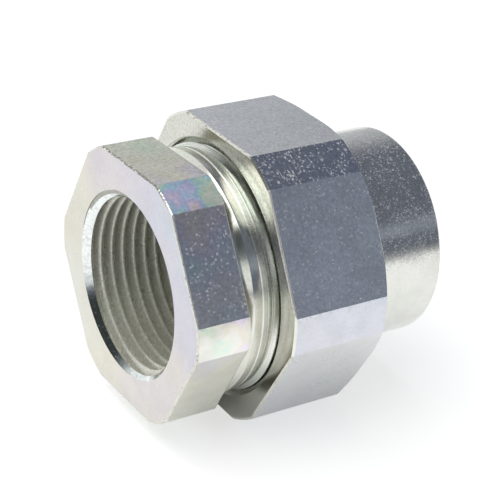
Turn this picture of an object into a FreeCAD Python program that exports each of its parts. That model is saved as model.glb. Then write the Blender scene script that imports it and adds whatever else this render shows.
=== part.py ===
import FreeCAD, Part
import math
import os

import Sketcher

# Conduit union: a hexagonal half and a round sleeve, both with a female conduit
# thread, drawn together face to face by a hexagonal nut trapped on the sleeve.
# Lengths are in millimetres and angles in degrees. +X runs along the conduit from
# the hexagonal half to the sleeve, +Z points up from the flat that the nut lies on,
# and the origin is on the common axis, halfway between the two ends.

DRIVING_SIZES = [
    ("conduit_thread_major", 33.26, "female conduit thread, diameter over the roots"),
    ("conduit_thread_height", 1.43, "radial height of the female conduit thread"),
    ("conduit_thread_depth", 19.5, "how far the conduit thread runs in from each end"),
    ("throat_diameter", 26.6, "smooth passage between the two conduit threads"),
    ("throat_lip", 1.0, "tapered lip of the throat, where wires are pulled over it"),
    ("seat_chamfer", 0.4, "chamfer inside the two metal joint faces"),
    ("hex_flat_rise", 0.425, "flats of the hexagonal half above the collar"),
    ("hex_corner_turndown", 3.13, "taken off its sharp corner diameter by turning"),
    ("hex_length", 9.95, "length of its flats"),
    ("hex_edge_break", 0.2, "broken edge round its end face"),
    ("hex_clocking", -1.81, "turn of its flats against the nut's, about +X"),
    ("neck_length", 6.42, "bare neck between the hexagon and the tightened nut"),
    ("neck_relief_width", 1.0, "plain root behind the hexagon"),
    ("neck_relief_depth", 0.8, "depth of that root below the collar"),
    ("neck_shoulder_length", 1.1, "cone from the root up to the collar"),
    ("collar_step", 0.3, "collar below the thread crests, on the radius"),
    ("collar_groove_offset", 2.05, "turned line in the collar, ahead of the thread"),
    ("collar_groove_width", 0.36, "width of that line"),
    ("collar_groove_depth", 0.25, "depth of that line"),
    ("runout_width", 0.95, "run-out groove ahead of the union thread"),
    ("runout_depth", 0.65, "depth of the run-out below the thread crests"),
    ("union_thread_pitch", 1.5875, "sixteen threads to the inch"),
    ("union_thread_exposed", 0.5, "thread left bare ahead of the nut's mouth"),
    ("union_thread_chamfer", 1.1, "lead-in at the joint face end of the thread"),
    ("thread_clearance", 0.08, "radial clearance on the thread's mean diameter"),
    ("sleeve_wall", 2.42, "wall of the sleeve outside the conduit thread"),
    ("sleeve_reach", 16.75, "sleeve beyond the back of the nut"),
    ("sleeve_edge_break", 0.25, "broken edge round the sleeve's end"),
    ("flange_step", 1.94, "flange above the sleeve, on the radius"),
    ("flange_thickness", 4.1, "flange held between the joint face and the nut"),
    ("flange_fillet", 0.5, "fillet where the sleeve leaves the flange"),
    ("flange_play", 0.25, "radial play of the flange inside the nut's thread"),
    ("nut_thread_wall", 3.3, "wall of the union nut between its thread and its flats"),
    ("nut_corner_turndown", 3.56, "taken off its sharp corner diameter by turning"),
    ("nut_length", 19.53, "length of the nut"),
    ("nut_front_chamfer", 0.45, "edge taken off its front corners, on the radius"),
    ("nut_back_chamfer", 2.2, "edge taken off its back corners, on the radius"),
    ("nut_chamfer_angle", 30.0, "slope of both, from the nut's end faces"),
    ("nut_mouth_flare", 1.0, "countersink over the thread crests, on the radius"),
    ("nut_mouth_angle", 35.0, "slope of the countersink, from the front face"),
    ("nut_thread_length", 10.0, "threaded length from the nut's front face"),
    ("nut_pocket_relief", 0.5, "pocket behind the thread, beyond the crests"),
    ("nut_wall", 4.8, "inward shoulder at the back of the nut"),
    ("nut_bore_chamfer", 0.8, "chamfer of the shoulder's bore, over the fillet"),
    ("swivel_clearance", 0.08, "radial running clearance of the nut on the sleeve"),
]

# Basic proportions of a sixty degree thread, as shares of its pitch.
FULL_THREAD_DIFFERENCE = 1.0825
MEAN_THREAD_DIFFERENCE = 0.6495

# How near an edge lies to its calculated place and radius.
EDGE_TOLERANCE = 0.0001

# Diameters that follow from the driving sizes.
CONDUIT_MINOR = "(Sizes.conduit_thread_major - 2 * Sizes.conduit_thread_height)"
SLEEVE_DIAMETER = "(Sizes.conduit_thread_major + 2 * Sizes.sleeve_wall)"
FLANGE_DIAMETER = f"({SLEEVE_DIAMETER} + 2 * Sizes.flange_step)"
UNION_MINOR = f"({FLANGE_DIAMETER} + 2 * Sizes.flange_play)"
UNION_MAJOR = f"({UNION_MINOR} + {FULL_THREAD_DIFFERENCE} * Sizes.union_thread_pitch)"
UNION_MEAN = f"({UNION_MAJOR} - {MEAN_THREAD_DIFFERENCE} * Sizes.union_thread_pitch)"
COLLAR_DIAMETER = f"({UNION_MAJOR} - 2 * Sizes.collar_step)"
HEX_FLATS = f"({COLLAR_DIAMETER} + 2 * Sizes.hex_flat_rise)"
HEX_CORNERS = f"({HEX_FLATS} / cos(30) - Sizes.hex_corner_turndown)"
NUT_FLATS = f"({UNION_MAJOR} + 2 * Sizes.nut_thread_wall)"
NUT_CORNERS = f"({NUT_FLATS} / cos(30) - Sizes.nut_corner_turndown)"

# Stations along the axis, from the end face of the hexagonal half.
NUT_FRONT = "(Sizes.hex_length + Sizes.neck_length)"
NUT_SHOULDER = f"({NUT_FRONT} + Sizes.nut_length - Sizes.nut_wall)"
JOINT_FACE = f"({NUT_SHOULDER} - Sizes.flange_thickness)"
UNION_LENGTH = f"({NUT_FRONT} + Sizes.nut_length + Sizes.sleeve_reach)"
SLEEVE_LENGTH = "(Sizes.flange_thickness + Sizes.nut_wall + Sizes.sleeve_reach)"


def make_sheet(doc):
    sheet = doc.addObject("Spreadsheet::Sheet", "Sizes")
    for row, (alias, value, meaning) in enumerate(DRIVING_SIZES, start=1):
        sheet.set(f"A{row}", alias)
        sheet.set(f"B{row}", str(value))
        sheet.set(f"C{row}", meaning)
        sheet.setAlias(f"B{row}", alias)
    doc.recompute()
    return sheet


def origin_plane(body, role):
    return next(item for item in body.Origin.OriginFeatures if item.Role == role)


def add_sketch(body, name, role):
    sketch = body.newObject("Sketcher::SketchObject", name)
    sketch.AttachmentSupport = [(origin_plane(body, role), "")]
    sketch.MapMode = "FlatFace"
    return sketch


def bind(sketch, constraint, name, expression):
    index = sketch.addConstraint(constraint)
    sketch.renameConstraint(index, name)
    sketch.setExpression(f"Constraints.{name}", expression)


def corner_place(corner, sheet_value):
    station, radius = corner
    return FreeCAD.Vector(sheet_value(station), sheet_value(radius), 0)


def sheet_reader(sheet):
    def value(expression):
        return float(sheet.evalExpression(expression))
    return value


# A closed half section, given as corners of (station along X, radius), each held by
# its own pair of dimensions.
def half_section(body, name, corners, value):
    sketch = add_sketch(body, name, "XY_Plane")
    places = [corner_place(corner, value) for corner in corners]
    for start, end in zip(places, places[1:] + places[:1]):
        sketch.addGeometry(Part.LineSegment(start, end))
    for number in range(len(corners)):
        following = (number + 1) % len(corners)
        sketch.addConstraint(Sketcher.Constraint("Coincident", number, 2, following, 1))
    for number, (station, radius) in enumerate(corners):
        along = Sketcher.Constraint("DistanceX", -1, 1, number, 1, places[number].x)
        across = Sketcher.Constraint("DistanceY", -1, 1, number, 1, places[number].y)
        bind(sketch, along, f"station_{number}", station)
        bind(sketch, across, f"radius_{number}", radius)
    return sketch


def turn(body, name, corners, value):
    sketch = half_section(body, f"{name}_section", corners, value)
    turned = body.newObject("PartDesign::Revolution", name)
    turned.Profile = sketch
    turned.ReferenceAxis = (sketch, ["H_Axis"])
    turned.Angle = 360.0
    body.Document.recompute()
    return turned


# Six flats milled along a turned blank: a ring with a hexagonal hole is cut away,
# from the face at the blank's own origin to the end of the flats. The hexagon has
# one flat square to +Z.
def mill_flats(body, name, flats, length, blank_diameter, value):
    sketch = add_sketch(body, f"{name}_hexagon", "YZ_Plane")
    sharp_radius = value(flats) / 2 / math.cos(math.radians(30))
    sharp_corners = []
    for number in range(6):
        turn_angle = math.radians(60 * number)
        across = sharp_radius * math.cos(turn_angle)
        upward = sharp_radius * math.sin(turn_angle)
        sharp_corners.append(FreeCAD.Vector(across, upward, 0))
    for start, end in zip(sharp_corners, sharp_corners[1:] + sharp_corners[:1]):
        sketch.addGeometry(Part.LineSegment(start, end))
    centre = FreeCAD.Vector(0, 0, 0)
    normal = FreeCAD.Vector(0, 0, 1)
    guide = sketch.addGeometry(Part.Circle(centre, normal, sharp_radius), True)
    outside = sketch.addGeometry(Part.Circle(centre, normal, 2 * sharp_radius))
    for number in range(6):
        following = (number + 1) % 6
        sketch.addConstraint(Sketcher.Constraint("Coincident", number, 2, following, 1))
        sketch.addConstraint(Sketcher.Constraint("PointOnObject", number, 1, guide))
    for number in range(1, 6):
        sketch.addConstraint(Sketcher.Constraint("Equal", 0, number))
    sketch.addConstraint(Sketcher.Constraint("Horizontal", 1))
    sketch.addConstraint(Sketcher.Constraint("Coincident", guide, 3, -1, 1))
    sketch.addConstraint(Sketcher.Constraint("Coincident", outside, 3, -1, 1))
    corner_size = Sketcher.Constraint("Radius", guide, sharp_radius)
    clear_size = Sketcher.Constraint("Radius", outside, 2 * sharp_radius)
    bind(sketch, corner_size, "sharp_corners", f"{flats} / 2 / cos(30)")
    bind(sketch, clear_size, "clear_of_blank", blank_diameter)

    before = body.Shape.Volume
    milled = body.newObject("PartDesign::Pocket", name)
    milled.Profile = sketch
    milled.Reversed = True
    milled.setExpression("Length", length)
    body.Document.recompute()
    if milled.Shape.Volume >= before:
        raise RuntimeError(f"{name}: the flats were not cut")
    return milled


def round_edges(shape, station, radius):
    names = []
    for number, edge in enumerate(shape.Edges, start=1):
        if not isinstance(edge.Curve, Part.Circle):
            continue
        same_station = abs(edge.Curve.Center.x - station) < EDGE_TOLERANCE
        if same_station and abs(edge.Curve.Radius - radius) < EDGE_TOLERANCE:
            names.append(f"Edge{number}")
    if not names:
        raise RuntimeError(f"no round edge at station {station}, radius {radius}")
    return names


def fillet_edge(body, name, base, station, radius, size, value):
    local_shape = base.Shape.copy()
    local_shape.Placement = FreeCAD.Placement()
    edges = round_edges(local_shape, value(station), value(radius))
    fillet = body.newObject("PartDesign::Fillet", name)
    fillet.Base = (base, edges)
    fillet.setExpression("Radius", size)
    body.Document.recompute()
    return fillet


# Corners of a conduit thread's bore from its own end face: the mouth is countersunk
# to the thread's roots, and the bore ends at the lip of the throat. Inward is +1 or
# -1 along X.
def conduit_bore(face, inward):
    sign = "+" if inward > 0 else "-"
    countersink = f"{face} {sign} Sizes.conduit_thread_height"
    thread_end = f"{face} {sign} Sizes.conduit_thread_depth"
    return [
        (face, "Sizes.conduit_thread_major / 2"),
        (countersink, f"{CONDUIT_MINOR} / 2"),
        (thread_end, f"{CONDUIT_MINOR} / 2"),
        (thread_end, "Sizes.throat_diameter / 2 + Sizes.throat_lip"),
        (f"{thread_end} {sign} Sizes.throat_lip", "Sizes.throat_diameter / 2"),
    ]


# The hexagonal half: flats, bare neck, male union thread and joint face outside,
# conduit thread and throat inside. Its own origin is on its end face.
def make_hex_body(doc, value):
    body = doc.addObject("PartDesign::Body", "hex_body")
    body.Label = "hex_body"

    hex_radius = f"{HEX_CORNERS} / 2"
    collar_radius = f"{COLLAR_DIAMETER} / 2"
    root_radius = f"{collar_radius} - Sizes.neck_relief_depth"
    thread_radius = f"{UNION_MEAN} / 2"
    runout_radius = f"{UNION_MAJOR} / 2 - Sizes.runout_depth"
    root_end = "Sizes.hex_length + Sizes.neck_relief_width"
    thread_start = f"{NUT_FRONT} - Sizes.union_thread_exposed"
    groove_middle = f"{thread_start} - Sizes.collar_groove_offset"
    joint_radius = f"{thread_radius} - Sizes.union_thread_chamfer"

    outside = [
        ("0", f"{hex_radius} - Sizes.hex_edge_break"),
        ("Sizes.hex_edge_break", hex_radius),
        ("Sizes.hex_length", hex_radius),
        ("Sizes.hex_length", root_radius),
        (root_end, root_radius),
        (f"{root_end} + Sizes.neck_shoulder_length", collar_radius),
        (f"{groove_middle} - Sizes.collar_groove_width / 2", collar_radius),
        (groove_middle, f"{collar_radius} - Sizes.collar_groove_depth"),
        (f"{groove_middle} + Sizes.collar_groove_width / 2", collar_radius),
        (f"{thread_start} - Sizes.runout_width", collar_radius),
        (f"{thread_start} - 3 * Sizes.runout_width / 4", runout_radius),
        (f"{thread_start} - Sizes.runout_width / 4", runout_radius),
        (thread_start, thread_radius),
        (f"{JOINT_FACE} - Sizes.union_thread_chamfer", thread_radius),
        (JOINT_FACE, joint_radius),
    ]
    inside = [
        (JOINT_FACE, "Sizes.throat_diameter / 2 + Sizes.seat_chamfer"),
        (f"{JOINT_FACE} - Sizes.seat_chamfer", "Sizes.throat_diameter / 2"),
    ]
    corners = outside + inside + conduit_bore("0", +1)[::-1]
    turn(body, "hex_body_blank", corners, value)
    mill_flats(body, "wrench_flats", HEX_FLATS, "Sizes.hex_length", HEX_CORNERS, value)

    body.Placement = FreeCAD.Placement(
        FreeCAD.Vector(-value(UNION_LENGTH) / 2, 0, 0),
        FreeCAD.Rotation(FreeCAD.Vector(1, 0, 0), value("Sizes.hex_clocking")))
    body.setExpression(".Placement.Base.x", f"-{UNION_LENGTH} / 2")
    body.setExpression(".Placement.Rotation.Angle", "Sizes.hex_clocking")
    return body


# The round half: a flange that the nut pulls against the joint face, and a plain
# sleeve with the second conduit thread. Its own origin is on its joint face.
def make_sleeve(doc, value):
    body = doc.addObject("PartDesign::Body", "sleeve")
    body.Label = "sleeve"

    flange_radius = f"{FLANGE_DIAMETER} / 2"
    sleeve_radius = f"{SLEEVE_DIAMETER} / 2"
    outside = [
        ("0", "Sizes.throat_diameter / 2 + Sizes.seat_chamfer"),
        ("0", flange_radius),
        ("Sizes.flange_thickness", flange_radius),
        ("Sizes.flange_thickness", sleeve_radius),
        (f"{SLEEVE_LENGTH} - Sizes.sleeve_edge_break", sleeve_radius),
        (SLEEVE_LENGTH, f"{sleeve_radius} - Sizes.sleeve_edge_break"),
    ]
    throat_entry = [("Sizes.seat_chamfer", "Sizes.throat_diameter / 2")]
    corners = outside + conduit_bore(SLEEVE_LENGTH, -1) + throat_entry
    blank = turn(body, "sleeve_blank", corners, value)
    fillet_edge(body, "flange_root", blank, "Sizes.flange_thickness", sleeve_radius,
                "min(Sizes.flange_fillet; 0.4 * Sizes.flange_step)", value)

    body.Placement.Base = FreeCAD.Vector(value(f"{JOINT_FACE} - {UNION_LENGTH} / 2"), 0, 0)
    body.setExpression(".Placement.Base.x", f"{JOINT_FACE} - {UNION_LENGTH} / 2")
    return body


# The union nut: threaded at its mouth, relieved behind the thread, with a shoulder
# at the back that turns on the sleeve. Its own origin is on its front face.
def make_union_nut(doc, value):
    body = doc.addObject("PartDesign::Body", "union_nut")
    body.Label = "union_nut"

    corner_radius = f"{NUT_CORNERS} / 2"
    chamfer_slope = "tan(Sizes.nut_chamfer_angle)"
    thread_radius = f"{UNION_MEAN} / 2 + Sizes.thread_clearance"
    mouth_radius = f"{UNION_MAJOR} / 2 + Sizes.nut_mouth_flare"
    mouth_slope = "tan(Sizes.nut_mouth_angle)"
    mouth_depth = f"({mouth_radius} - ({thread_radius})) * {mouth_slope}"
    pocket_radius = f"{UNION_MAJOR} / 2 + Sizes.nut_pocket_relief"
    bore_radius = f"{SLEEVE_DIAMETER} / 2 + Sizes.swivel_clearance"
    shoulder = "Sizes.nut_length - Sizes.nut_wall"
    corners = [
        ("0", f"{corner_radius} - Sizes.nut_front_chamfer"),
        (f"Sizes.nut_front_chamfer * {chamfer_slope}", corner_radius),
        (f"Sizes.nut_length - Sizes.nut_back_chamfer * {chamfer_slope}", corner_radius),
        ("Sizes.nut_length", f"{corner_radius} - Sizes.nut_back_chamfer"),
        ("Sizes.nut_length", bore_radius),
        (f"{shoulder} + Sizes.nut_bore_chamfer", bore_radius),
        (shoulder, f"{bore_radius} + Sizes.nut_bore_chamfer"),
        (shoulder, pocket_radius),
        ("Sizes.nut_thread_length", pocket_radius),
        ("Sizes.nut_thread_length", thread_radius),
        (mouth_depth, thread_radius),
        ("0", mouth_radius),
    ]
    turn(body, "nut_blank", corners, value)
    mill_flats(body, "nut_flats", NUT_FLATS, "Sizes.nut_length", NUT_CORNERS, value)

    body.Placement.Base = FreeCAD.Vector(value(f"{NUT_FRONT} - {UNION_LENGTH} / 2"), 0, 0)
    body.setExpression(".Placement.Base.x", f"{NUT_FRONT} - {UNION_LENGTH} / 2")
    return body


def check_document(doc, bodies):
    for item in doc.Objects:
        if {"Invalid", "Error"} & set(item.State):
            raise RuntimeError(f"{item.Name}: {item.State}")
    for body in bodies:
        if body.Shape.isNull() or not body.Shape.isValid():
            raise RuntimeError(f"{body.Label}: no valid shape")
        if len(body.Shape.Solids) != 1:
            raise RuntimeError(f"{body.Label}: not one solid")


def main():
    doc = FreeCAD.newDocument("conduit_union")
    sheet = make_sheet(doc)
    value = sheet_reader(sheet)
    bodies = [make_hex_body(doc, value), make_sleeve(doc, value), make_union_nut(doc, value)]
    doc.recompute()
    check_document(doc, bodies)

    os.makedirs("parts", exist_ok=True)
    for body in bodies:
        body.Shape.exportStep(f"parts/{body.Label}.step")
        box = body.Shape.BoundBox
        print(body.Label, round(body.Shape.Volume, 1), "mm3",
              "x", round(box.XMin, 3), round(box.XMax, 3),
              "z", round(box.ZMin, 3), round(box.ZMax, 3))


main()
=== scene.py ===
import math

import bpy
from mathutils import Matrix, Vector


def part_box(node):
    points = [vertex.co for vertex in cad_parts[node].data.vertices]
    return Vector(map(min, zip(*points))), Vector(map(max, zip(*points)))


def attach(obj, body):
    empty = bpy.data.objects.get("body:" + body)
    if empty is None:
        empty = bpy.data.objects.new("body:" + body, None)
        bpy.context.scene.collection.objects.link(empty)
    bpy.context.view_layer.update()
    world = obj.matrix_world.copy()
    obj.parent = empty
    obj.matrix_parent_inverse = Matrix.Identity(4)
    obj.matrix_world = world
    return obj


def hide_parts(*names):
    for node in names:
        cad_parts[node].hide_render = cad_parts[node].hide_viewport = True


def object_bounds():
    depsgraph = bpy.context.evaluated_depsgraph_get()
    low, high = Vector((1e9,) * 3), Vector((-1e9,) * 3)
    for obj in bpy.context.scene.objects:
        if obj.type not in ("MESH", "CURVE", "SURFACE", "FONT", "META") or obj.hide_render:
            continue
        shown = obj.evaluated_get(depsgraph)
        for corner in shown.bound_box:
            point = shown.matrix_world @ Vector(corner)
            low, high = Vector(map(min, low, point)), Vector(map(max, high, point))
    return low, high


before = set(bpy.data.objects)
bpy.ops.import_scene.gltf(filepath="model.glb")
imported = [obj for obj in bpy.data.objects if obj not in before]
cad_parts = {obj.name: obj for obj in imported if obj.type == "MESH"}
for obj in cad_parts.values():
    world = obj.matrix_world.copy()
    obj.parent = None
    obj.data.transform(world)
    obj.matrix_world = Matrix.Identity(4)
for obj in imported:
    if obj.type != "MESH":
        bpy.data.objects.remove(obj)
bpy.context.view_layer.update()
print("frame loaded")

mm = 0.001
micrometre = 0.001 * mm
weld = 0.001 * mm
hair = 0.01 * mm  # how near counts as touching
margin = 0.1 * mm  # how far a face's middle may be from the radius it belongs to
skin = 0.001 * mm  # how far the two hexagonal pieces stay inside their solids
aligned = 0.9999  # least cosine between a face's normal and the way it counts as facing
slanted = (0.2, 0.97)  # cosines between the axis and the normals on a broken edge
flankSlope = math.tan(math.radians(30))  # of a 60 degree thread
edgeKnee = 0.3  # where a broken edge's middle point is, as a share of the break
cutterReach = 0.4  # how far out a cutter reaches, as a share of the flats

# Ends of the three pieces along the conduit's axis, from the frame.
hexEndX, jointFaceX = (corner.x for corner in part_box("hex_body"))
nutFrontX, nutBackX = (corner.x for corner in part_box("union_nut"))
sleeveFrontX, sleeveEndX = (corner.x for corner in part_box("sleeve"))


# Tools for modelling

def startFresh():
    if bpy.context.mode != "OBJECT":
        bpy.ops.object.mode_set(mode="OBJECT")
    bpy.ops.object.select_all(action="DESELECT")
    bpy.context.tool_settings.mesh_select_mode = (True, False, False)


def selectOnly(piece):
    startFresh()
    piece.select_set(True)
    bpy.context.view_layer.objects.active = piece


def startEditing():
    bpy.ops.object.mode_set(mode="EDIT")
    bpy.ops.mesh.select_all(action="SELECT")


def finishEditing():
    bpy.ops.mesh.select_all(action="SELECT")
    bpy.ops.mesh.remove_doubles(threshold=weld)
    bpy.ops.mesh.normals_make_consistent(inside=False)
    bpy.ops.object.mode_set(mode="OBJECT")


def applyPlace(piece):
    selectOnly(piece)
    bpy.ops.object.transform_apply(location=True, rotation=True, scale=True)


def applyModifier(piece, modifier):
    selectOnly(piece)
    bpy.ops.object.modifier_apply(modifier=modifier.name)


def addRing(name, x, radius, steps, turn=0.0):
    startFresh()
    bpy.ops.mesh.primitive_circle_add(vertices=steps, radius=radius, location=(x, 0, 0),
                                      rotation=(0, math.pi / 2, 0))
    ring = bpy.context.object
    ring.name = name
    applyPlace(ring)
    ring.rotation_euler.x = turn
    applyPlace(ring)
    return ring


# What is selected is extruded along the axis and resized, from corner to corner.
def followCorners(extrude, corners):
    for (lastX, lastRadius), (x, radius) in zip(corners, corners[1:]):
        extrude(TRANSFORM_OT_translate={"value": (x - lastX, 0, 0)})
        share = radius / lastRadius
        bpy.ops.transform.resize(value=(1, share, share), center_override=(x, 0, 0))


# A ring follows the corners of a half section until it meets its own start again.
def turnBlank(name, corners, steps, turn=0.0):
    blank = addRing(name, *corners[0], steps, turn)
    startEditing()
    followCorners(bpy.ops.mesh.extrude_edges_move, corners + corners[:1])
    finishEditing()
    return blank


# A disc follows the corners and leaves a rod behind it that is closed at both ends.
def turnRod(name, corners, steps):
    rod = addRing(name, *corners[0], steps)
    startEditing()
    bpy.ops.mesh.edge_face_add()
    followCorners(bpy.ops.mesh.extrude_region_move, corners)
    finishEditing()
    return rod


# What a mill takes off: a thick washer with a six-sided hole. The hole narrows at the
# ends, which rounds the edges of the flats. Overruns are how far it stands out there.
def hexCutter(name, settings, startX, endX, startOverrun, endOverrun):
    flats, rounding = settings["flats"], settings["edgeRounding"]
    knee = (1 - math.sin(math.radians(45))) * rounding
    steepness = (rounding - knee) / knee
    outside = -cutterReach * flats

    def ring(x, inset):
        return x, (flats / 2 - inset) / math.cos(math.radians(30))

    corners = [
        ring(startX - startOverrun, rounding + startOverrun * steepness),
        ring(startX + knee, knee),
        ring(startX + rounding, 0.0),
        ring(endX - rounding, 0.0),
        ring(endX - knee, knee),
        ring(endX + endOverrun, rounding + endOverrun * steepness),
        ring(endX + endOverrun, outside),
        ring(startX - startOverrun, outside),
    ]
    return turnBlank(name, corners, 6, settings["clocking"])


# One pitch of a thread is drawn as a line above the axis and screwed into a rod.
# A crest is centred on the thread's phaseX where the line stands at +Z.
def threadedRod(name, thread, startX, endX, steps):
    pitch = thread["pitch"]
    crestRadius = thread["crestRadius"]
    rootRadius = thread["rootRadius"]
    halfCrest = thread["crestFlat"] / 2
    halfFoot = halfCrest + (crestRadius - rootRadius) * flankSlope
    firstX = thread["phaseX"] + pitch * math.floor((startX - thread["phaseX"]) / pitch - 2)
    line = [
        (firstX - pitch / 2, rootRadius),
        (firstX - halfFoot, rootRadius),
        (firstX - halfCrest, crestRadius),
        (firstX + halfCrest, crestRadius),
        (firstX + halfFoot, rootRadius),
        (firstX + pitch / 2, rootRadius),
    ]
    startFresh()
    bpy.ops.mesh.primitive_plane_add(size=mm, location=(line[0][0], 0, line[0][1]))
    rod = bpy.context.object
    rod.name = name
    applyPlace(rod)
    startEditing()
    bpy.ops.mesh.merge(type="CENTER")
    for (lastX, lastRadius), (x, radius) in zip(line, line[1:]):
        step = (x - lastX, 0, radius - lastRadius)
        bpy.ops.mesh.extrude_vertices_move(TRANSFORM_OT_translate={"value": step})
    bpy.ops.object.mode_set(mode="OBJECT")
    for vertex in rod.data.vertices:
        vertex.select = line[0][0] + hair < vertex.co.x < line[-1][0] - hair
    bpy.ops.object.mode_set(mode="EDIT")
    bpy.ops.mesh.select_mode(type="VERT")
    bpy.ops.mesh.bevel(offset=thread["rounding"], segments=2, affect="VERTICES")
    bpy.ops.object.mode_set(mode="OBJECT")

    screw = rod.modifiers.new("screw", "SCREW")
    screw.axis = "X"
    screw.screw_offset = pitch
    screw.iterations = math.ceil((endX - firstX) / pitch) + 2
    screw.steps = steps
    screw.render_steps = steps
    screw.use_merge_vertices = True
    screw.merge_threshold = weld
    screw.use_normal_calculate = True
    applyModifier(rod, screw)

    bpy.ops.object.mode_set(mode="EDIT")
    for cutX, outward in ((startX, -1), (endX, 1)):
        bpy.ops.mesh.select_all(action="SELECT")
        bpy.ops.mesh.bisect(plane_co=(cutX, 0, 0), plane_no=(outward, 0, 0),
                            use_fill=True, clear_outer=True, threshold=weld / 10)
    finishEditing()
    return rod


def combine(piece, tool, operation):
    cut = piece.modifiers.new(tool.name, "BOOLEAN")
    cut.operation = operation
    cut.solver = "MANIFOLD"
    cut.object = tool
    facesBefore = len(piece.data.polygons)
    applyModifier(piece, cut)
    if len(piece.data.polygons) == facesBefore:
        raise RuntimeError(tool.name + " left no mark on " + piece.name)
    bpy.data.objects.remove(tool)


print("tools ready")


# Tools for shader nodes

def feed(tree, socket, value):
    if isinstance(value, bpy.types.NodeSocket):
        tree.links.new(value, socket)
    else:
        socket.default_value = value


def calc(tree, operation, *values):
    node = tree.nodes.new("ShaderNodeMath")
    node.operation = operation
    for socket, value in zip(node.inputs, values):
        feed(tree, socket, value)
    return node.outputs["Value"]


def spread(tree, value, low, high, newLow=0.0, newHigh=1.0):
    node = tree.nodes.new("ShaderNodeMapRange")
    for socket, part in zip(node.inputs, (value, low, high, newLow, newHigh)):
        feed(tree, socket, part)
    return node.outputs["Result"]


def splitVector(tree, vector):
    node = tree.nodes.new("ShaderNodeSeparateXYZ")
    feed(tree, node.inputs["Vector"], vector)
    return node.outputs["X"], node.outputs["Y"], node.outputs["Z"]


def noise(tree, vector, scale, detail=2.0):
    node = tree.nodes.new("ShaderNodeTexNoise")
    feed(tree, node.inputs["Vector"], vector)
    feed(tree, node.inputs["Scale"], scale)
    node.inputs["Detail"].default_value = detail
    return node.outputs["Fac"]


def mixColour(tree, share, first, second, blend="MIX"):
    node = tree.nodes.new("ShaderNodeMix")
    node.data_type = "RGBA"
    node.blend_type = blend
    feed(tree, node.inputs[0], share)
    feed(tree, node.inputs[6], first)
    feed(tree, node.inputs[7], second)
    return node.outputs[2]


def colourRamp(tree, value, stops):
    node = tree.nodes.new("ShaderNodeValToRGB")
    feed(tree, node.inputs["Fac"], value)
    elements = node.color_ramp.elements
    for element, (position, colour) in zip(elements, (stops[0], stops[-1])):
        element.position = position
        element.color = (*colour, 1)
    for position, colour in stops[1:-1]:
        elements.new(position).color = (*colour, 1)
    return node.outputs["Color"]


def startGroup(name, inputs, outputs):
    group = bpy.data.node_groups.new(name, "ShaderNodeTree")
    for label, kind in inputs.items():
        group.interface.new_socket(label, in_out="INPUT", socket_type="NodeSocket" + kind)
    for label, kind in outputs.items():
        group.interface.new_socket(label, in_out="OUTPUT", socket_type="NodeSocket" + kind)
    given = group.nodes.new("NodeGroupInput").outputs
    made = group.nodes.new("NodeGroupOutput").inputs
    return group, given, made


def placeGroup(tree, group, values):
    node = tree.nodes.new("ShaderNodeGroup")
    node.node_tree = group
    for label, value in values.items():
        feed(tree, node.inputs[label], value)
    return node.outputs


# Thin film of chromate over the zinc: its thickness drifts over the surface, and its
# colour goes round from straw through violet, blue and green with the thickness.
filmColours = [
    (0.00, (1.00, 0.97, 0.86)),
    (0.16, (0.96, 0.87, 0.64)),
    (0.30, (0.90, 0.74, 0.84)),
    (0.44, (0.68, 0.62, 0.96)),
    (0.58, (0.46, 0.76, 0.96)),
    (0.72, (0.56, 0.92, 0.80)),
    (0.86, (0.82, 0.95, 0.68)),
    (1.00, (1.00, 0.97, 0.86)),
]


def makeFilm():
    inputs = {"Vector": "Vector", "Scale": "Float", "Slope": "Vector", "Shift": "Float",
              "Drift": "Float", "Strength": "Float"}
    group, given, made = startGroup("chromateFilm", inputs, {"Colour": "Color"})
    lean = group.nodes.new("ShaderNodeVectorMath")
    lean.operation = "DOT_PRODUCT"
    feed(group, lean.inputs[0], given["Vector"])
    feed(group, lean.inputs[1], given["Slope"])
    cloud = calc(group, "SUBTRACT", noise(group, given["Vector"], given["Scale"], 3.0), 0.5)
    drift = calc(group, "MULTIPLY_ADD", cloud, given["Drift"], given["Shift"])
    thickness = calc(group, "FRACT", calc(group, "ADD", drift, lean.outputs["Value"]))
    colour = colourRamp(group, thickness, filmColours)
    tinted = mixColour(group, given["Strength"], (1, 1, 1, 1), colour)
    feed(group, made["Colour"], tinted)
    return group


# Pits and specks: one in each of some of the cells, of different sizes.
pitForm = {
    "raggedness": (0.5, 0.5, 0.5),
    "raggedFineness": 3.0,
    "footShare": 0.4,
    "faintest": 0.35,
}


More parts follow.
